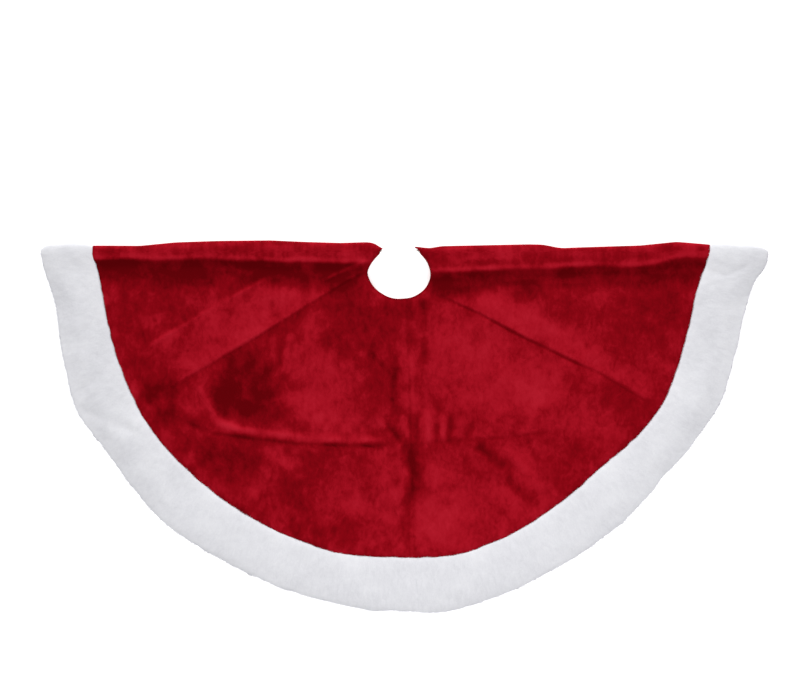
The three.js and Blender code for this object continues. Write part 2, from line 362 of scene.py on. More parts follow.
def clothMesh(name, points, uv, shade=None, loop=False):
    # a grid of points joined into faces, with the cloth's own flat coordinates as its UV map
    rows, columns = points.shape[:2]
    index = np.arange(rows * columns).reshape(rows, columns)
    after = np.roll(index, -1, axis=1) if loop else index[:, 1:]
    here = index if loop else index[:, :-1]
    faces = np.stack([here[:-1], after[:-1], after[1:], here[1:]], axis=-1).reshape(-1, 4)
    caps = [index[0][::-1].tolist(), index[-1].tolist()] if loop else []
    piece = addMesh(name, points, faces.tolist() + caps)
    mesh = piece.data
    layer = mesh.uv_layers.new(name="cloth")
    corner = np.zeros(len(mesh.loops), dtype=int)
    mesh.loops.foreach_get("vertex_index", corner)
    layer.data.foreach_set("uv", uv.reshape(-1, 2)[corner].astype(np.float32).ravel())
    if shade is not None:
        # pile tone plus painted shade and painted highlight, which the material turns into colour
        attribute = mesh.attributes.new("pileAndPaintedShade", "FLOAT", "POINT")
        attribute.data.foreach_set("value", shade.ravel().astype(np.float32))
    return piece


def makeActive(piece):
    bpy.ops.object.select_all(action="DESELECT")
    piece.select_set(True)
    bpy.context.view_layer.objects.active = piece


def finishMesh(piece, angle=50, recalculate=True):
    makeActive(piece)
    if recalculate:
        bpy.ops.object.mode_set(mode="EDIT")
        bpy.ops.mesh.select_all(action="SELECT")
        bpy.ops.mesh.normals_make_consistent(inside=False)
        bpy.ops.object.mode_set(mode="OBJECT")
    bpy.ops.object.shade_smooth_by_angle(angle=math.radians(angle))
    piece.select_set(False)


def thicken(piece, thickness, inward=-1):
    # gives a single layer its thickness on the inner side
    wall = piece.modifiers.new("thickness", "SOLIDIFY")
    wall.thickness = thickness * mm
    wall.offset = inward
    wall.use_even_offset = False
    wall.use_rim = True
    makeActive(piece)
    bpy.ops.object.modifier_apply(modifier=wall.name)


def finishCloth(piece, thickness):
    # an open cloth's normals point away from the middle of the stack before it gets its thickness
    finishMesh(piece)
    top = max(piece.data.polygons, key=lambda p: p.center.z)
    if top.normal.z < 0:
        piece.data.flip_normals()
    thicken(piece, thickness)
    finishMesh(piece, 60, recalculate=False)
    return piece


# The plan of one side follows: where each row and column of the cloth lies. Its t is 0 at the fold
# and 1 at the seam or slit.
def onCircle(radius, degrees):
    return radius * np.cos(np.radians(degrees)), radius * np.sin(np.radians(degrees))


def neckPoint(side, t, half):
    start = skirt["neckStart"][side]
    slit = 90 - side * math.degrees(math.asin(skirt["slitHalf"] / skirt["neckRadius"]))
    degrees = start + ((skirt["neckSeam"] if half == "front" else slit) - start) * t
    r = skirt["neckRadius"] + wander(neckWander, degrees, 4)
    return r * math.cos(math.radians(degrees)), skirt["neckOffset"] + r * math.sin(math.radians(degrees))


def degreesAt(side, t, half, radius):
    x = skirt["seamAtHem"] * radius / skirt["redRadius"] if half == "front" else side * skirt["slitHalf"]
    start = 0 if side > 0 else 180
    return start + (math.degrees(math.acos(x / radius)) - start) * t


def redEdge(side, t, half, inset=0.0):
    degrees = degreesAt(side, t, half, skirt["redRadius"])
    stray = wander(redWander, degrees, 1.3)
    if half == "back":
        fade = 1 - smooth(2, 12, np.minimum(degrees, 180 - degrees))
        stray = stray * fade + 3 * cloud(degrees, degrees * 0, 14, 5)
    uneven = 0.8 * cloud(degrees, degrees * 0, 1.5, 6)
    return onCircle(skirt["redRadius"] + stray + uneven - inset, degrees)


def hemEdge(side, t, half):
    degrees = degreesAt(side, t, half, skirt["radius"])
    stray = wander(hemWander, degrees, 0.7)
    if half == "back":
        fade = 1 - smooth(2, 9, np.minimum(degrees, 180 - degrees))
        inner = np.minimum(wander(hemWander, degrees, 2.5) - 3, 2)
        stray = stray * fade + inner * (1 - fade)
    return onCircle(skirt["radius"] + stray + 1.2 * cloud(degrees, degrees * 0, 1.9, 8), degrees)


def stepsAlong(length, step, fineStart, fineEnd):
    # shares of a length at even steps, with finer ones given near both ends
    fineStart, fineEnd = np.array(fineStart), np.array(fineEnd)
    inner = length - fineStart[-1] - fineEnd[-1]
    middle = np.linspace(0, inner, int(round(inner / step)) + 1) + fineStart[-1]
    whole = np.concatenate([fineStart[:-1], middle, (length - fineEnd[::-1])[1:]])
    return whole / length


def rowsRound(frontSteps, backSteps, foldSteps):
    # rows of the cloth from the seam in front, round the fold, to the slit behind: each is
    # (half, t, turn). foldSteps is even, so that no row lies right on the hinge's level.
    rows = [("front", t, 90.0) for t in frontSteps[::-1]]
    rows += [("fold", 0.0, 90 - 180 * (k + 1) / (foldSteps + 1)) for k in range(foldSteps)]
    return rows + [("back", t, -90.0) for t in backSteps]


def gridBetween(rows, across, inner, outer):
    # x, v, turn and half of a cloth from its inner edge to its outer one, row by row
    x, v, turn = (np.zeros((len(rows), len(across))) for _ in range(3))
    for k, (half, t, angle) in enumerate(rows):
        plan = "front" if half == "front" else "back"
        (ax, av), (bx, bv) = inner(t, plan), outer(t, plan)
        x[k], v[k] = ax + (bx - ax) * across, av + (bv - av) * across
        turn[k] = angle
    return x, v, turn, np.array([row[0] for row in rows])


plush = {
    "step": 3.9,
    "backStep": 7.4,
    "foldSteps": 14,
    "thickness": 2.6,
    "hem": 4.6,  # how far the turned edge of the neck hole drops
    "dip": 2.6,  # how far the plush drops where the border is sewn on
    "seam": (1.8, 3.4),  # how far it drops at the centre front seam, and over what width
    "slit": (3.0, 4.5),  # the same at the slit
    "least": 5.2,
    "rollLength": 30.0,  # along the cloth from the front's edge to the middle of the fold
    "padBed": 8.6,  # the flap's plush lies flat at this height under the loop pads
    "uneven": ((1.25, 118), (0.75, 52), (0.30, 23)),  # as it lies on another cloth: (height, size)
}
lining = {
    "step": 9.0,
    "foldSteps": 10,
    "thickness": 0.6,
    "inset": 4.0,
    "standOff": 3.1,
    "atFold": 4.2,  # how much farther out it lies at the fold
    "foldShare": 0.62,  # how much of the plush's bulge it follows
    "least": 2.75,
    "uneven": ((0.3, 64), (0.15, 24)),
}
trim = {
    "step": 2.4,
    "foldSteps": 18,
    "inner": 0.7,
    "top": 12.1,
    "crest": 2.2,  # how much higher it stands at the fold
    "overlap": 1.0,
    "slope": 6.5,  # how far the border slopes down to its hem at the sides
    "fuller": 3.5,  # how far its fold bulges past the plush's
    "sectionSteps": 46,
    "edgeRound": 0.8,  # 1 is an ellipse's section, and less is nearer a box's
    "topFull": 0.60,
    "underside": 0.46,  # the share of its height below the section's middle
    "uneven": ((0.8, 74), (0.45, 30)),
    "clumps": ((0.20, 9), (0.12, 5.2)),
}


def panelGrid(side, cloth, inset):
    # x, v and turn of a side's panel, before its height is shaped
    length = skirt["redRadius"] - skirt["neckRadius"]
    arc = skirt["redRadius"] * math.pi / 2
    fine = [0, 0.7, 1.6, 2.8, 4.4, 6.6, 9.6]
    columns = stepsAlong(length, cloth["step"], fine, fine)
    frontSteps = stepsAlong(arc, cloth["step"], [0, 4.3], fine)
    backSteps = stepsAlong(arc, cloth.get("backStep", cloth["step"]), [0, 4.3], fine)
    x, v, turn, half = gridBetween(rowsRound(frontSteps, backSteps, cloth["foldSteps"]), columns,
                                   lambda t, plan: neckPoint(side, t, plan),
                                   lambda t, plan: redEdge(side, t, plan, inset))
    # the hole's edge closes in over the fold, so the folded cloth ends in two horns
    fromNeck = columns[None, :] * length
    x -= side * skirt["hornLength"][side] * np.cos(np.radians(turn)) * np.exp(-fromNeck / 16)
    return columns, x, v, turn, half


def flatCoordinates(x, v, turn, reach, half):
    # the flat coordinates of a panel that turns round the fold, in metres
    across = np.where(half == "front", -1, 1)[:, None] * v
    onFold = half == "fold"
    across[onFold] = reach[onFold] * np.sin(np.radians(-turn[onFold]))
    return np.stack([x, across], axis=-1) * mm


def blendRound(piece):
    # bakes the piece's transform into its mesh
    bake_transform(piece)


def padBeds(x, v):
    # 1 where the right flap's plush lies flat under a loop pad, fading to 0 round it
    bed = np.zeros(x.shape)
    for spot in ("neck", "middle", "hem"):
        low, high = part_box(f"loop_pad_{spot}")
        middleX, middleV = (low.x + high.x) / 2 / mm, (axisY - (low.y + high.y) / 2) / mm
        beyondX = np.abs(x - middleX) - (high.x - low.x) / 2 / mm
        beyondV = np.abs(v - middleV) - (high.y - low.y) / 2 / mm
        bed = np.maximum(bed, 1 - smooth(3, 14, np.maximum(beyondX, beyondV)))
    return bed


def makePlush(side, name):
    columns, x, v, turn, half = panelGrid(side, plush, 0.0)
    flapShape = shapes["left" if side < 0 else "right"]
    length = skirt["redRadius"] - skirt["neckRadius"]
    fromNeck, toRed = columns[None, :] * length, (1 - columns)[None, :] * length
    onFold = half == "fold"
    reach = wander(foldReach, x, 4)
    d, shade = np.zeros(x.shape), np.zeros(x.shape)
    # round the fold the heights and shades of the front run on and give way to the flap's
    share = 1 - smooth(-60, 60, turn)
    for which, shape, weight in (("front", shapes["front"], 1 - share), ("back", flapShape, share)):
        here = onFold | (half == which)
        past = turn[here] < 0 if which == "front" else turn[here] > 0
        unrolled = plush["rollLength"] * (90 - np.abs(turn[here])) / 90
        unrolled = np.where(past, 2 * plush["rollLength"] - unrolled, unrolled)
        atX, atV = x[here], v[here] - unrolled
        edge = wander(rollEdge, atX, 24) if which == "front" else 4
        # the creases and the fold give back their heights and their painted shade and highlight
        height, creaseMark = creased(atX, atV, shape)
        rise, dark = foldShape(atX, atV, shape, edge)
        uneven = clouds(atX, atV, shape["seed"], plush["uneven"])
        d[here] += (shape["flat"] + rise + uneven + height) * weight[here]
        # pile tone from the patches, plus the painted shade and highlight of the creases and the fold
        shade[here] += (patched(atX, atV, shape) + creaseMark + dark) * weight[here]
    # hems: the neck's turned edge, the dip at the border, and the seam or slit
    d -= plush["hem"] * bell(fromNeck, 3.2, 1.6)
    d -= plush["dip"] * bell(toRed, 5.0, 1.4)
    # painted shade along the neck's turned edge and where the border is sewn on
    shade += 0.5 * bell(fromNeck, 2.2) + 0.5 * bell(toRed, 2.4)
    for which, row, (depth, width) in (("front", 0, plush["seam"]), ("back", -1, plush["slit"])):
        here = half == which
        toSeam = np.abs(x[here] - x[row][None, :])
        pucker = 0.45 * cloud(v[here], v[here] * 0, 11, 77) * np.exp(-toSeam / 14)
        d[here] += pucker - depth * bell(toSeam, width, 1.5)
        # painted shade in the front seam's groove
        shade[here] += 0.35 * bell(toSeam, 2.4) * (which == "front")
    if side > 0:
        bed = padBeds(x, v) * (half == "back")[:, None]
        d = d * (1 - bed) + plush["padBed"] * bed
    d = np.clip(d, plush["least"], np.where(turn < 0, skirt["deepest"], skirt["highest"]))
    uv = flatCoordinates(x, v, turn, reach, half)
    return finishCloth(clothMesh(name, place(x, v, d, turn, reach), uv, shade), plush["thickness"])


def makeLining(side, name):
    _, x, v, turn, half = panelGrid(side, lining, lining["inset"])
    d = lining["standOff"] + clouds(x, v, 91, lining["uneven"])
    d += lining["atFold"] * np.where(half[:, None] == "fold", 1, 1 - smooth(0, 30, v))
    reach = lining["foldShare"] * wander(foldReach, x, 4)
    points = place(x, v, np.maximum(d, lining["least"]), turn, reach)
    piece = clothMesh(name, points, flatCoordinates(x, v, turn, reach, half))
    return finishCloth(piece, lining["thickness"])


# soft press lines across the border, and the crease of its turned-over right end:
# (path in x and v, depth, width)
trimCreases = {
    -1: [([(-562, 262), (-505, 284), (-432, 316)], 1.3, 10),
         ([(-556, 250), (-532, 224), (-506, 200)], 1.0, 7)],
    1: [([(525, 25), (545, 34), (565, 37), (592, 26), (610, 12)], 0.75, 4.5),
        ([(560, 60), (552, 130), (530, 200)], 0.8, 16)],
}


def trimSection(count):
    # once round the border's section, from its inner edge over the top to the hem and back under:
    # the share of the width, and the height as a share from underside (0) to top (1)
    top = np.linspace(0, math.pi, count)
    under = np.linspace(math.pi, 2 * math.pi, count // 3 + 2)[1:-1]
    angle = np.concatenate([top, under])
    across = (1 - np.sign(np.cos(angle)) * np.abs(np.cos(angle)) ** trim["edgeRound"]) / 2
    lift = np.sign(np.sin(angle)) * np.abs(np.sin(angle)) ** trim["topFull"]
    lift = trim["underside"] + (1 - trim["underside"]) * lift
    return across, lift, np.arange(len(angle)) < count


def makeTrim(side, name):
    # the border's tube of cloth, and the points of its surface row by row
    steps = stepsAlong(skirt["radius"] * math.pi / 2, trim["step"], [0, 2.4], [0, 0.8, 1.8, 3.2])
    across, lift, upper = trimSection(trim["sectionSteps"])
    x, v, turn, half = gridBetween(rowsRound(steps, steps, trim["foldSteps"]), across,
                                   lambda t, plan: redEdge(side, t, plan, trim["overlap"]),
                                   lambda t, plan: hemEdge(side, t, plan))
    front, onFold = (half == "front")[:, None], (half == "fold")[:, None]
    toSeam = np.abs(x - np.where(front, x[0][None, :], x[-1][None, :]))
    rounded = 1 - 0.04 * bell(toSeam, 2.4, 1.5) * ~onFold
    seed = 11 if side < 0 else 13
    body = trim["top"] - trim["inner"] + clouds(x, v, seed, trim["uneven"])
    # the border slopes off towards the hem, most at the sides
    sideways = 0.3 + 0.7 * smooth(360, 540, np.abs(x))
    slope = trim["slope"] * sideways * smooth(20, 90, v) * smooth(0.45, 1.05, across) ** 1.3
    body -= np.where(front, slope, 0)
    crest = np.where(front, trim["crest"] * (1 - smooth(-2, 32, v)), 0)
    crest = np.where(onFold, trim["crest"] * smooth(0, 60, turn), crest)
    clumps = clouds(x, v, seed + 2, trim["clumps"])
    for path, press, width in trimCreases[side]:
        gap, along = fromLine(x, v, path)
        creaseMark = press * bell(gap, width) * smooth(0, 0.2, along) * smooth(0, 0.25, 1 - along)
        body -= np.where(front, creaseMark, 0)
    d = trim["inner"] + (body + crest) * lift * rounded + clumps * smooth(0.5, 0.8, lift)
    d = np.clip(d, trim["inner"], np.where(turn < 0, skirt["deepest"] + 0.2, skirt["highest"]))
    reach = (wander(foldReach, x, 4) + trim["fuller"]) * np.clip(d / trim["top"], 0, 1.1)
    points = place(x, v, d, turn, reach)
    alongHem = lengthsAlong(points[:, len(across) // 3])
    width = borderWidth * mm * np.where(upper, across, -across - 0.1)
    uv = np.stack(np.broadcast_arrays(alongHem[:, None], width[None, :]), axis=-1)
    piece = clothMesh(name, points, uv, loop=True)
    finishMesh(piece, 70)
    return piece, points, turn[:, 0]


fringe = {
    "tufts": 8600,
    "length": 3.4,
    "width": 0.42,
    "root": 0.6,  # how deep they start inside the border
    "clear": 0.4,  # how far the tufts stay from the hinge's level
    "innerShare": 0.26,  # of the tufts, that lean over the plush
    "innerLength": 2.2,
    "middle": 22,  # columns of the border's section: its middle, its hem, and where tufts grow
    "hem": 44,
    "innerColumns": (1, 4),
    "hemColumns": (41, -12),
}


def makeFringe(side, name, points, turn):
    # short tufts of pile that stand off the border's hem, and a few that lean over the plush
    draw = np.random.default_rng(71 + side)
    count = fringe["tufts"]
    rowAt = lengthsAlong(points[:, fringe["hem"]])
    at = np.interp(draw.uniform(0, rowAt[-1], count), rowAt, np.arange(len(rowAt)))
    row = np.clip(at.astype(int), 0, points.shape[0] - 2)
    share = (at - row)[:, None]
    inner = draw.uniform(0, 1, count) < fringe["innerShare"]
    first, last = fringe["hemColumns"]
    lane = np.where(inner, draw.integers(*fringe["innerColumns"], count),
                    draw.integers(first, points.shape[1] + last, count))
    root, middle = (points[row, column] * (1 - share) + points[row + 1, column] * share
                    for column in (lane, fringe["middle"]))
    out = root - middle
    out[:, 2] = 0
    out /= np.linalg.norm(out, axis=1)[:, None]
    alongRow = points[row + 1, lane] - points[row, lane]
    alongRow /= np.maximum(np.linalg.norm(alongRow, axis=1), 1e-9)[:, None]
    front = turn[row] > 0
    up = np.zeros((count, 3))
    up[:, 2] = np.where(front, 1, -1)
    length = np.where(inner, fringe["innerLength"], fringe["length"]) * draw.uniform(0.55, 1.15, count) * mm
    lean = draw.normal(0.25, 0.45, count)[:, None]
    lift = np.where(inner, draw.uniform(0.1, 0.5, count), draw.uniform(-0.25, 0.35, count))[:, None]
    root -= out * fringe["root"] * mm
    tip = root + (out + alongRow * lean + up * lift) * (length + fringe["root"] * mm)[:, None]
    wide = fringe["width"] * mm
    tufts = np.stack([root + alongRow * wide, root - alongRow * wide * 0.5 + up * wide * 0.87,
                      root - alongRow * wide * 0.5 - up * wide * 0.87, tip], axis=1)
    keep = np.abs(turn[row]) > 12
    tufts, front = tufts[keep], front[keep]
    gap = fringe["clear"] * mm
    tufts[..., 2] = np.where(front[:, None], np.maximum(tufts[..., 2], axisZ + gap),
                             np.clip(tufts[..., 2], 0.3 * mm, axisZ - gap))
    faces = np.array([[0, 1, 3], [1, 2, 3], [2, 0, 3], [0, 2, 1]])
    every = (np.arange(len(tufts)) * 4)[:, None, None] + faces[None]
    piece = addMesh(name, tufts, every.reshape(-1, 3).tolist())
    finishMesh(piece, 80)
    return piece


# Small repeated shapes are modelled once, and copied into one mesh along a row or over a pad.
def selectParts(piece, kind, chosen):
    # selects the faces or edges that chosen picks, and stays in edit mode
    bpy.ops.object.mode_set(mode="EDIT")
    bpy.ops.mesh.select_mode(type=kind)
    bpy.ops.mesh.select_all(action="DESELECT")
    bpy.ops.object.mode_set(mode="OBJECT")
    for part in piece.data.polygons if kind == "FACE" else piece.data.edges:
        part.select = bool(chosen(part))
    bpy.ops.object.mode_set(mode="EDIT")


def addPrimitive(operator, **sizes):
    bpy.ops.object.select_all(action="DESELECT")
    operator(**sizes)
    return bpy.context.active_object


def turnQuarter(axis):
    # turns the shape in edit mode, and leaves it
    bpy.ops.mesh.select_all(action="SELECT")
    bpy.ops.transform.rotate(value=math.pi / 2, orient_axis=axis, center_override=(0, 0, 0))
    bpy.ops.object.mode_set(mode="OBJECT")


def extrudeTo(x, z, scale):
    bpy.ops.mesh.extrude_region_move(TRANSFORM_OT_translate={"value": (x, 0, z)})
    bpy.ops.transform.resize(value=scale)


def modelStitch(length, radius):
    # one stitch lies along X, with drawn-in ends
    piece = addPrimitive(bpy.ops.mesh.primitive_cylinder_add, vertices=6, radius=radius,
                         depth=length * 0.7)
    selectParts(piece, "FACE", lambda p: abs(p.normal.z) > 0.9)
    bpy.ops.mesh.inset(thickness=radius * 0.45, depth=length * 0.15, use_individual=True)
    turnQuarter("Y")
    return piece


def modelHook(height):
    # one hook of the pad: a stem whose top bends over
    piece = addPrimitive(bpy.ops.mesh.primitive_cylinder_add, vertices=5, radius=height * 0.26,
                         depth=height * 0.5)
    piece.data.transform(Matrix.Translation((0, 0, height * 0.25)))
    selectParts(piece, "FACE", lambda p: p.normal.z > 0.9)
    extrudeTo(height * 0.25, height * 0.35, (0.8, 0.8, 0.4))
    extrudeTo(height * 0.42, -height * 0.1, (0.6, 0.6, 0.6))
    bpy.ops.object.mode_set(mode="OBJECT")
    return piece


def modelLoop(radius):
    # one loop of the pad's pile stands up on its base
    piece = addPrimitive(bpy.ops.mesh.primitive_torus_add, major_segments=7, minor_segments=4,
                         major_radius=radius, minor_radius=radius * 0.26)
    bpy.ops.object.mode_set(mode="EDIT")
    turnQuarter("X")
    return piece


def copyAlong(name, model, spots, level, ahead, up=1.0):
    # one mesh with a copy of the model at each spot, turned ahead, and the model itself removed
    shape = np.zeros(len(model.data.vertices) * 3)
    model.data.vertices.foreach_get("co", shape)
    shape = shape.reshape(-1, 3)
    faces = [list(p.vertices) for p in model.data.polygons]
    origins = np.column_stack([spots, np.full(len(spots), level)])
    xAxes = np.column_stack([ahead, np.zeros(len(spots))])
    zAxes = np.tile([0.0, 0.0, up], (len(spots), 1))
    yAxes = np.cross(zAxes, xAxes)
    corners = (origins[:, None] + shape[None, :, :1] * xAxes[:, None] + shape[None, :, 1:2] * yAxes[:, None]
               + shape[None, :, 2:] * zAxes[:, None])
    every = [[v + k * len(shape) for v in face] for k in range(len(origins)) for face in faces]
    piece = addMesh(name, corners, every)
    bpy.data.objects.remove(model)
    finishMesh(piece, 60)
    return piece


def spotsAlong(route, sofar, at, step):
    # places at given lengths along a route, and which way it runs there
    spots, ahead = (np.stack([np.interp(where, sofar, route[:, k]) for k in (0, 1)], axis=1)
                    for where in (at, at + step))
    ahead = ahead - spots
    return spots, ahead / np.linalg.norm(ahead, axis=1)[:, None]


thread = {
    "spacing": 4.2,
    "length": 3.3,
    "radius": 0.42,
    "depth": 2.15,
    "seamInset": 8.0,
    "slitInset": 4.0,
    "wobble": 0.07,
}


def stitchRow(name, route, below):
    # stitches along a route of (x, v), on the inner face of the lining of the front or of a flap
    route = np.array(route, dtype=float)
    sofar = lengthsAlong(route)
    at = np.arange(thread["spacing"], sofar[-1] - thread["spacing"], thread["spacing"])
    spots, toward = spotsAlong(route, sofar, at, 0.5)
    level = axisZ + (-1 if below else 1) * thread["depth"] * mm
    wobble = np.random.default_rng(len(at)).normal(0, thread["wobble"], len(at))
    c, s = np.cos(wobble), np.sin(wobble)
    ux, uy = toward[:, 0], -toward[:, 1]
    ahead = np.column_stack([ux * c - uy * s, ux * s + uy * c])
    spots = np.column_stack([spots[:, 0] * mm, axisY - spots[:, 1] * mm])
    return copyAlong(name, modelStitch(thread["length"] * mm, thread["radius"] * mm), spots, level, ahead)


def seamRoute(side, half):
    # the row of stitches beside the border
    return [redEdge(side, t, half, thread["seamInset"]) for t in np.linspace(0.01, 0.995, 120)]


def straightRoute(half, side):
    # down the front seam, or down one edge of the slit
    shift = 0 if half == "front" else side * thread["slitInset"]
    (nx, nv), (rx, rv) = neckPoint(1, 1, half), redEdge(1, 1, half, 6)
    if half == "back":
        nx, rx = 0, 0
    return [(nx + (rx - nx) * t + shift, nv + 4 + (rv - nv - 4) * t) for t in np.linspace(0, 1, 60)]


pad = {
    "corner": 3.0,
    "bevel": 0.25,
    "tape": 0.95,  # how thick the woven tape under the hooks or loops is
    "spacing": 1.5,
    "edge": 2.6,  # the tape shows bare this far in from its rim
    "loopRadius": 0.5,
    "stitchInset": 1.5,
    "stitchSpacing": 2.6,
    "stitch": (2.1, 0.26),  # length and radius
}


def roundedTape(name, low, high, bottom, top):
    # the woven tape of a pad, between two heights, with rounded corners and a soft rim
    middle = ((low.x + high.x) / 2, (low.y + high.y) / 2, (bottom + top) / 2)
    sides = (high.x - low.x, high.y - low.y, top - bottom)
    piece = addPrimitive(bpy.ops.mesh.primitive_cube_add, size=1, location=middle, scale=sides)
    piece.name = name
    bpy.ops.object.transform_apply(location=True, rotation=True, scale=True)
    corners = piece.data.vertices
    selectParts(piece, "EDGE", lambda e: abs(corners[e.vertices[0]].co.z - corners[e.vertices[1]].co.z)
                > (top - bottom) / 2)
    bpy.ops.mesh.bevel(offset=pad["corner"] * mm, segments=5)
    bpy.ops.object.mode_set(mode="OBJECT")
    selectParts(piece, "FACE", lambda p: abs(p.normal.z) > 0.9)
    bpy.ops.mesh.region_to_loop()
    bpy.ops.mesh.bevel(offset=pad["bevel"] * mm, segments=2)
    bpy.ops.object.mode_set(mode="OBJECT")
    finishMesh(piece, 40)
    return piece


def padSurface(low, high, draw):
    # even places over a pad inside its bare rim, each moved a little
    inset = pad["edge"] * mm
    nx = int((high.x - low.x - 2 * inset) / (pad["spacing"] * mm))
    ny = int((high.y - low.y - 2 * inset) / (pad["spacing"] * mm))
    gridX, gridY = np.meshgrid(np.linspace(low.x + inset, high.x - inset, nx),
                               np.linspace(low.y + inset, high.y - inset, ny))
    spots = np.stack([gridX.ravel(), gridY.ravel()], axis=1)
    return spots + draw.normal(0, 0.12 * mm, spots.shape)


def rimRoute(low, high):
    # evenly spaced places and directions round a pad's stitched rim
    inset, r = pad["stitchInset"] * mm, pad["corner"] * mm * 0.6
    x0, x1, y0, y1 = low.x + inset, high.x - inset, low.y + inset, high.y - inset
    route = np.array([(x0 + r, y0), (x1 - r, y0), (x1, y0 + r), (x1, y1 - r), (x1 - r, y1),
                      (x0 + r, y1), (x0, y1 - r), (x0, y0 + r), (x0 + r, y0)])
    sofar = lengthsAlong(route)
    at = np.linspace(0, sofar[-1], int(sofar[-1] / (pad["stitchSpacing"] * mm)) + 1)[:-1]
    return spotsAlong(route, sofar, at, 0.2 * mm)


def makePad(node, kind, seed):
    # a closure pad: tape with hooks facing the middle of the stack, or with loops facing the floor
    low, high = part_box(node)
    draw = np.random.default_rng(seed)
    tape = pad["tape"] * mm
    if kind == "hook":  # the tape is against the lining, below the hooks
        level, up = low.z + tape, 1.0
        piece = roundedTape(node + "_tape", low, high, low.z, level)
        model = modelHook(high.z - level)
    else:  # the tape is against the plush, above the loops
        level, up = high.z - tape - 0.02 * mm, -1.0
        piece = roundedTape(node + "_tape", low, high, high.z - tape, high.z)
        model = modelLoop(pad["loopRadius"] * mm)
    spots = padSurface(low, high, draw)
    angle = draw.uniform(0, 2 * math.pi, len(spots)) if kind == "loop" else draw.normal(0, 0.25, len(spots))
    ahead = np.column_stack([np.cos(angle), np.sin(angle)])
    face = copyAlong(node + "_face", model, spots, level, ahead, up)
    spots, ahead = rimRoute(low, high)
    length, radius = pad["stitch"]
    rim = copyAlong(node + "_rim", modelStitch(length * mm, radius * mm), spots, level, ahead)
    bpy.ops.object.select_all(action="DESELECT")
    for part in (face, rim, piece):
        part.select_set(True)
    bpy.context.view_layer.objects.active = piece
    bpy.ops.object.join()
    piece.select_set(False)
    return piece


label = {"steps": 14, "wave": 0.16, "thickness": 0.3}


def makeLabel(node):
    # a small satin label, blank, that lies against the lining with a slight wave
    low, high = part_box(node)
    x, y = np.meshgrid(np.linspace(low.x, high.x, label["steps"]),
                       np.linspace(high.y, low.y, label["steps"] + 6))
    free, across = (high.y - y) / (high.y - low.y), (x - low.x) / (high.x - low.x)
    wave = np.sin(free * 7.5 + 0.6) * 0.7 + np.sin(across * 5.0 + free * 2) * 0.3
    z = (low.z + high.z) / 2 + wave * label["wave"] * mm
    uv = np.stack([x - low.x, high.y - y], axis=-1)
    piece = clothMesh("blank_care_label", np.stack([x, y, z], axis=-1), uv)
    thicken(piece, label["thickness"], 0)
    finishMesh(piece, 50)
    return piece


# Materials: each reads the cloth's own flat coordinates or Object coordinates.
def newMaterial(name):
    material = bpy.data.materials.new(name)
    material.use_nodes = True
    return material, material.node_tree


def setInputs(tree, node, inputs):
    # each input takes a value, or a link from another node
    for key, value in inputs.items():
        if isinstance(value, bpy.types.NodeSocket):
            tree.links.new(value, node.inputs[key])
        else:
            node.inputs[key].default_value = value


def addNode(tree, kind, output, inputs, **settings):
    node = tree.nodes.new("ShaderNode" + kind)
    for key, value in settings.items():
        setattr(node, key, value)
    setInputs(tree, node, inputs)
    return node.outputs[output]


def clothCoordinates(tree, stretch=(1, 1, 1), turn=0.0):
    # the cloth's own flat coordinates, in metres
    flat = addNode(tree, "UVMap", "UV", {}, uv_map="cloth")
    return addNode(tree, "Mapping", "Vector", {"Vector": flat, "Scale": stretch, "Rotation": (0, 0, turn)})


def objectCoordinates(tree, turn=0.0):
    coordinates = addNode(tree, "TexCoord", "Object", {})
    return addNode(tree, "Mapping", "Vector", {"Vector": coordinates, "Rotation": (0, 0, turn)})


def noiseNode(tree, vector, scale, detail, roughness, distortion=0.0):
    return addNode(tree, "TexNoise", "Fac", {"Vector": vector, "Scale": scale, "Detail": detail,
                                             "Roughness": roughness, "Distortion": distortion})


def waveNode(tree, vector, direction, scale, distortion):
    return addNode(tree, "TexWave", "Fac", {"Vector": vector, "Scale": scale, "Distortion": distortion,
                                            "Detail": 1.0}, bands_direction=direction)


def mathNode(tree, operation, first, second):
    return addNode(tree, "Math", 0, {0: first, 1: second}, operation=operation)


def weaveNodes(tree, vector, scale, distortion):
    return mathNode(tree, "MULTIPLY", waveNode(tree, vector, "X", scale, distortion),
                    waveNode(tree, vector, "Y", scale, distortion))


def blendTones(tree, parts):
    # a middle tone plus each part's swing about its own middle, times its weight
    total = 0.5
    for value, middle, weight in parts:
        swing = mathNode(tree, "SUBTRACT", value, middle)
        total = mathNode(tree, "ADD", mathNode(tree, "MULTIPLY", swing, weight), total)
    return total


def ramp(tree, factor, stops):
    node = tree.nodes.new("ShaderNodeValToRGB")
    while len(node.color_ramp.elements) < len(stops):
        node.color_ramp.elements.new(0.5)
    for element, (at, colour) in zip(node.color_ramp.elements, stops):
        element.position = at
        element.color = (*colour, 1)
    tree.links.new(factor, node.inputs["Fac"])
    return node.outputs["Color"]


def finishMaterial(material, parts, stops, bumps, finish):
    # colours the shader by its blended tones, sets its finish, and stacks its bumps, which are
    # (height, strength, distance)
    tree = material.node_tree
    inputs = {"Base Color": ramp(tree, blendTones(tree, parts), stops), **finish}
    for height, strength, distance in bumps:
        values = {"Strength": strength, "Distance": distance, "Height": height}
        if "Normal" in inputs:
            values["Normal"] = inputs["Normal"]
        inputs["Normal"] = addNode(tree, "Bump", "Normal", values)
    setInputs(tree, tree.nodes["Principled BSDF"], inputs)
    return material


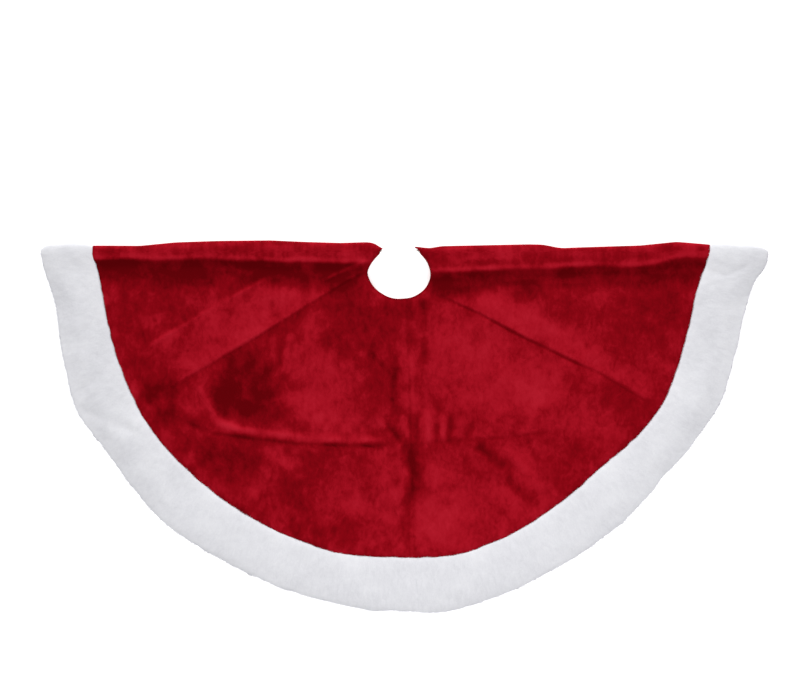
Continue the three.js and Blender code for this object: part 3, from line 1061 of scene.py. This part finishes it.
redPlush = {
    "dark": (0.113, 0.0001, 0.0018),
    "middle": (0.226, 0.0012, 0.0052),
    "bright": (0.335, 0.0042, 0.0125),
    "brushed": (0.42, 0.0100, 0.0230),
    # how far the pile tone and painted shade of the attribute darken the pile
    "pileAndPaintedShade": 0.135,
    "sheen": 0.28,
    "sheenTint": (1.0, 0.05, 0.08, 1),
    "gloss": 0.02,
}


def redPlushMaterial():
    material, tree = newMaterial("red_crushed_plush")
    flat = clothCoordinates(tree)
    brushed = clothCoordinates(tree, (1.0, 0.72, 1), 0.35)
    # handled pile lies in patches, large ones crossed by smaller ones, and looks lighter or darker
    patches = noiseNode(tree, flat, 16.0, 3.0, 0.55, 0.6)
    marks = noiseNode(tree, brushed, 52.0, 4.0, 0.62, 1.0)
    flecks = noiseNode(tree, brushed, 170.0, 3.0, 0.6, 0.4)
    pile = noiseNode(tree, flat, 900.0, 2.0, 0.6)
    # the attribute holds pile tone plus painted shade and highlight from the creases, gathers, fold, hems
    # and seam
    pileAndPaintedShade = addNode(tree, "Attribute", "Fac", {}, attribute_name="pileAndPaintedShade")
    parts = [(patches, 0.5, 0.22), (marks, 0.5, 0.26), (flecks, 0.5, 0.20), (pile, 0.5, 0.14),
             (pileAndPaintedShade, 0.0, -redPlush["pileAndPaintedShade"])]
    stops = [(0.27, redPlush["dark"]), (0.46, redPlush["middle"]), (0.58, redPlush["bright"]),
             (0.76, redPlush["brushed"])]
    bumps = [(marks, 0.25, 0.0010), (flecks, 0.30, 0.0006), (pile, 0.5, 0.0003)]
    return finishMaterial(material, parts, stops, bumps, {
        "Roughness": 0.9, "Specular IOR Level": redPlush["gloss"], "Sheen Weight": redPlush["sheen"],
        "Sheen Roughness": 0.4, "Sheen Tint": redPlush["sheenTint"]})


whitePile = {
    "shade": (0.615, 0.615, 0.650),
    "middle": (0.700, 0.700, 0.735),
    "tip": (0.765, 0.765, 0.795),
    "sheen": 0.12,
}


def whitePileMaterial(onCloth=True):
    material, tree = newMaterial("white_pile" if onCloth else "white_pile_tips")
    flat = clothCoordinates(tree) if onCloth else objectCoordinates(tree)
    combed = clothCoordinates(tree, (1, 0.45, 1), 0.2) if onCloth else flat
    broad = noiseNode(tree, flat, 14.0, 3.0, 0.5, 0.4)
    clumps = noiseNode(tree, combed, 150.0, 3.0, 0.6, 0.6)
    tips = noiseNode(tree, combed, 720.0, 3.0, 0.65, 0.3)
    parts = [(broad, 0.5, 0.40), (clumps, 0.5, 0.30), (tips, 0.5, 0.34)]
    stops = [(0.32, whitePile["shade"]), (0.50, whitePile["middle"]), (0.66, whitePile["tip"])]
    bumps = [(clumps, 0.22, 0.0012), (tips, 0.50, 0.0005)]
    return finishMaterial(material, parts, stops, bumps, {
        "Roughness": 0.95, "Specular IOR Level": 0.08, "Sheen Weight": whitePile["sheen"],
        "Sheen Roughness": 0.5})


def liningMaterial():
    material, tree = newMaterial("lining_weave")
    flat = clothCoordinates(tree)
    weave = weaveNodes(tree, flat, 260, 1.2)
    slub = noiseNode(tree, flat, 60.0, 3.0, 0.6)
    parts = [(weave, 0.3, 0.35), (slub, 0.5, 0.7)]
    stops = [(0.30, (0.62, 0.60, 0.56)), (0.65, (0.80, 0.785, 0.75))]
    return finishMaterial(material, parts, stops, [(weave, 0.4, 0.0003)],
                          {"Roughness": 0.8, "Specular IOR Level": 0.25})


def threadMaterial():
    material, tree = newMaterial("red_thread_twist")
    flat = objectCoordinates(tree, 0.8)
    twist = waveNode(tree, flat, "DIAGONAL", 700, 2.0)
    fuzz = noiseNode(tree, flat, 1500.0, 2.0, 0.6)
    parts = [(twist, 0.5, 0.4), (fuzz, 0.5, 0.5)]
    stops = [(0.25, (0.13, 0.002, 0.008)), (0.75, (0.36, 0.010, 0.022))]
    return finishMaterial(material, parts, stops, [(twist, 0.5, 0.0002)],
                          {"Roughness": 0.55, "Sheen Weight": 0.2})


def closureMaterial():
    material, tree = newMaterial("closure_tape")
    flat = objectCoordinates(tree)
    weave = weaveNodes(tree, flat, 420, 0.8)
    fuzz = noiseNode(tree, flat, 900.0, 3.0, 0.6)
    parts = [(weave, 0.3, 0.35), (fuzz, 0.5, 0.8)]
    stops = [(0.28, (0.11, 0.002, 0.007)), (0.70, (0.27, 0.008, 0.020))]
    return finishMaterial(material, parts, stops, [(weave, 0.4, 0.0002)],
                          {"Roughness": 0.6, "Specular IOR Level": 0.12})


def labelMaterial():
    material, tree = newMaterial("label_satin")
    ribs = waveNode(tree, clothCoordinates(tree), "Y", 900, 0.6)
    streaks = noiseNode(tree, clothCoordinates(tree, (40, 900, 1)), 1.0, 3.0, 0.6)
    parts = [(ribs, 0.5, 0.25), (streaks, 0.5, 0.5)]
    stops = [(0.3, (0.70, 0.69, 0.67)), (0.7, (0.86, 0.85, 0.83))]
    return finishMaterial(material, parts, stops, [(ribs, 0.3, 0.0001)],
                          {"Roughness": 0.38, "Anisotropic": 0.5})


def useMaterial(piece, material):
    piece.data.materials.clear()
    piece.data.materials.append(material)


stage = {
    "floorEdge": 6.0,
    "floorGlow": 0.62,  # the floor is a lit white table
    "world": 0.44,
    # name: (size, power, place, the point that it shines on)
    "lights": {"key": ((4.0, 1.3), 385, (-0.6, 6.0, 2.3), (0, 0, 0)),
               "fill": ((1.8, 1.8), 33, (0.45, -1.6, 2.0), (0.15, -0.2, 0))},
    "viewX": -0.006,
    "viewForward": 0.1454,  # from the fold's axis
    "viewHeight": 3.2,  # above the top of the plush
    "viewWidth": 1.358,
    "plushTop": 0.02,
    "sensor": 36,
}


def makeFloor():
    edge = stage["floorEdge"]
    corners = [(-edge, -edge, 0), (edge, -edge, 0), (edge, edge, 0), (-edge, edge, 0)]
    floor = addMesh("floor", corners, [(0, 1, 2, 3)])
    material, tree = newMaterial("pale_floor")
    setInputs(tree, tree.nodes["Principled BSDF"], {
        "Base Color": (0.96, 0.96, 0.96, 1), "Roughness": 0.9, "Specular IOR Level": 0.0,
        "Emission Color": (1, 1, 1, 1), "Emission Strength": stage["floorGlow"]})
    useMaterial(floor, material)
    return floor


def makeLight(name, size, power, position, target):
    data = bpy.data.lights.new(name, "AREA")
    data.shape = "RECTANGLE"
    data.size, data.size_y = size
    data.energy = power
    light = addObject(name, data)
    light.location = position
    light.rotation_euler = (Vector(target) - Vector(position)).to_track_quat("-Z", "Y").to_euler()


def makeCameraAndLights():
    for name, (size, power, position, target) in stage["lights"].items():
        makeLight(name, size, power, position, target)
    world = bpy.data.worlds.new("studio")
    world.use_nodes = True
    setInputs(world.node_tree, world.node_tree.nodes["Background"],
              {"Color": (1, 1, 1, 1), "Strength": stage["world"]})
    bpy.context.scene.world = world
    data = bpy.data.cameras.new("camera")
    data.sensor_width = stage["sensor"]
    data.lens = stage["sensor"] * stage["viewHeight"] / stage["viewWidth"]
    camera = addObject("camera", data)
    camera.location = (stage["viewX"], axisY - stage["viewForward"], stage["viewHeight"] + stage["plushTop"])
    bpy.context.scene.camera = camera
    bpy.context.scene.view_settings.view_transform = "Standard"


floor = makeFloor()
makeCameraAndLights()
print("stage ready")

redMaterial = redPlushMaterial()
whiteMaterial, tipMaterial = whitePileMaterial(), whitePileMaterial(onCloth=False)
backingMaterial = liningMaterial()
stitchMaterial = threadMaterial()
padMaterial = closureMaterial()
satinMaterial = labelMaterial()

for side, word in ((-1, "left"), (1, "right")):
    red = makePlush(side, f"plush_{word}")
    useMaterial(red, redMaterial)
    blendRound(red)
    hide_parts(f"front_plush_{word}", f"fold_plush_{word}", f"back_plush_{word}")
    inside = makeLining(side, f"lining_{word}")
    useMaterial(inside, backingMaterial)
    blendRound(inside)
    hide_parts(f"front_lining_{word}", f"fold_lining_{word}", f"back_lining_{word}")
    white, surface, turns = makeTrim(side, f"trim_{word}")
    useMaterial(white, whiteMaterial)
    blendRound(white)
    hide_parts(f"front_trim_{word}", f"fold_trim_{word}", f"back_trim_{word}")
    tufts = makeFringe(side, f"trim_pile_{word}", surface, turns)
    useMaterial(tufts, tipMaterial)
    blendRound(tufts)
    print(word, "cloths ready", [len(o.data.polygons) for o in (red, inside, white, tufts)])

rows = [("centre_seam_thread", straightRoute("front", 1), "front_half")]
for side, word in ((-1, "left"), (1, "right")):
    flap = f"back_{word}_flap"
    rows.append((f"slit_thread_{word}", straightRoute("back", side), flap))
    rows.append((f"front_trim_seam_thread_{word}", seamRoute(side, "front"), "front_half"))
    rows.append((f"back_trim_seam_thread_{word}", seamRoute(side, "back"), flap))
for node, route, body in rows:
    row = stitchRow(f"stitches_{node}", route, body != "front_half")
    useMaterial(row, stitchMaterial)
    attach(row, body)
    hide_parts(node)
print("stitches ready")

for number, spot in enumerate(("neck", "middle", "hem")):
    for kind, body in (("hook", "back_left_flap"), ("loop", "back_right_flap")):
        node = f"{kind}_pad_{spot}"
        closure = makePad(node, kind, 90 + number)
        useMaterial(closure, padMaterial)
        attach(closure, body)
        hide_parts(node)
tag = makeLabel("care_label")
useMaterial(tag, satinMaterial)
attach(tag, "back_right_flap")
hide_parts("care_label")
print("closure pads and label ready")
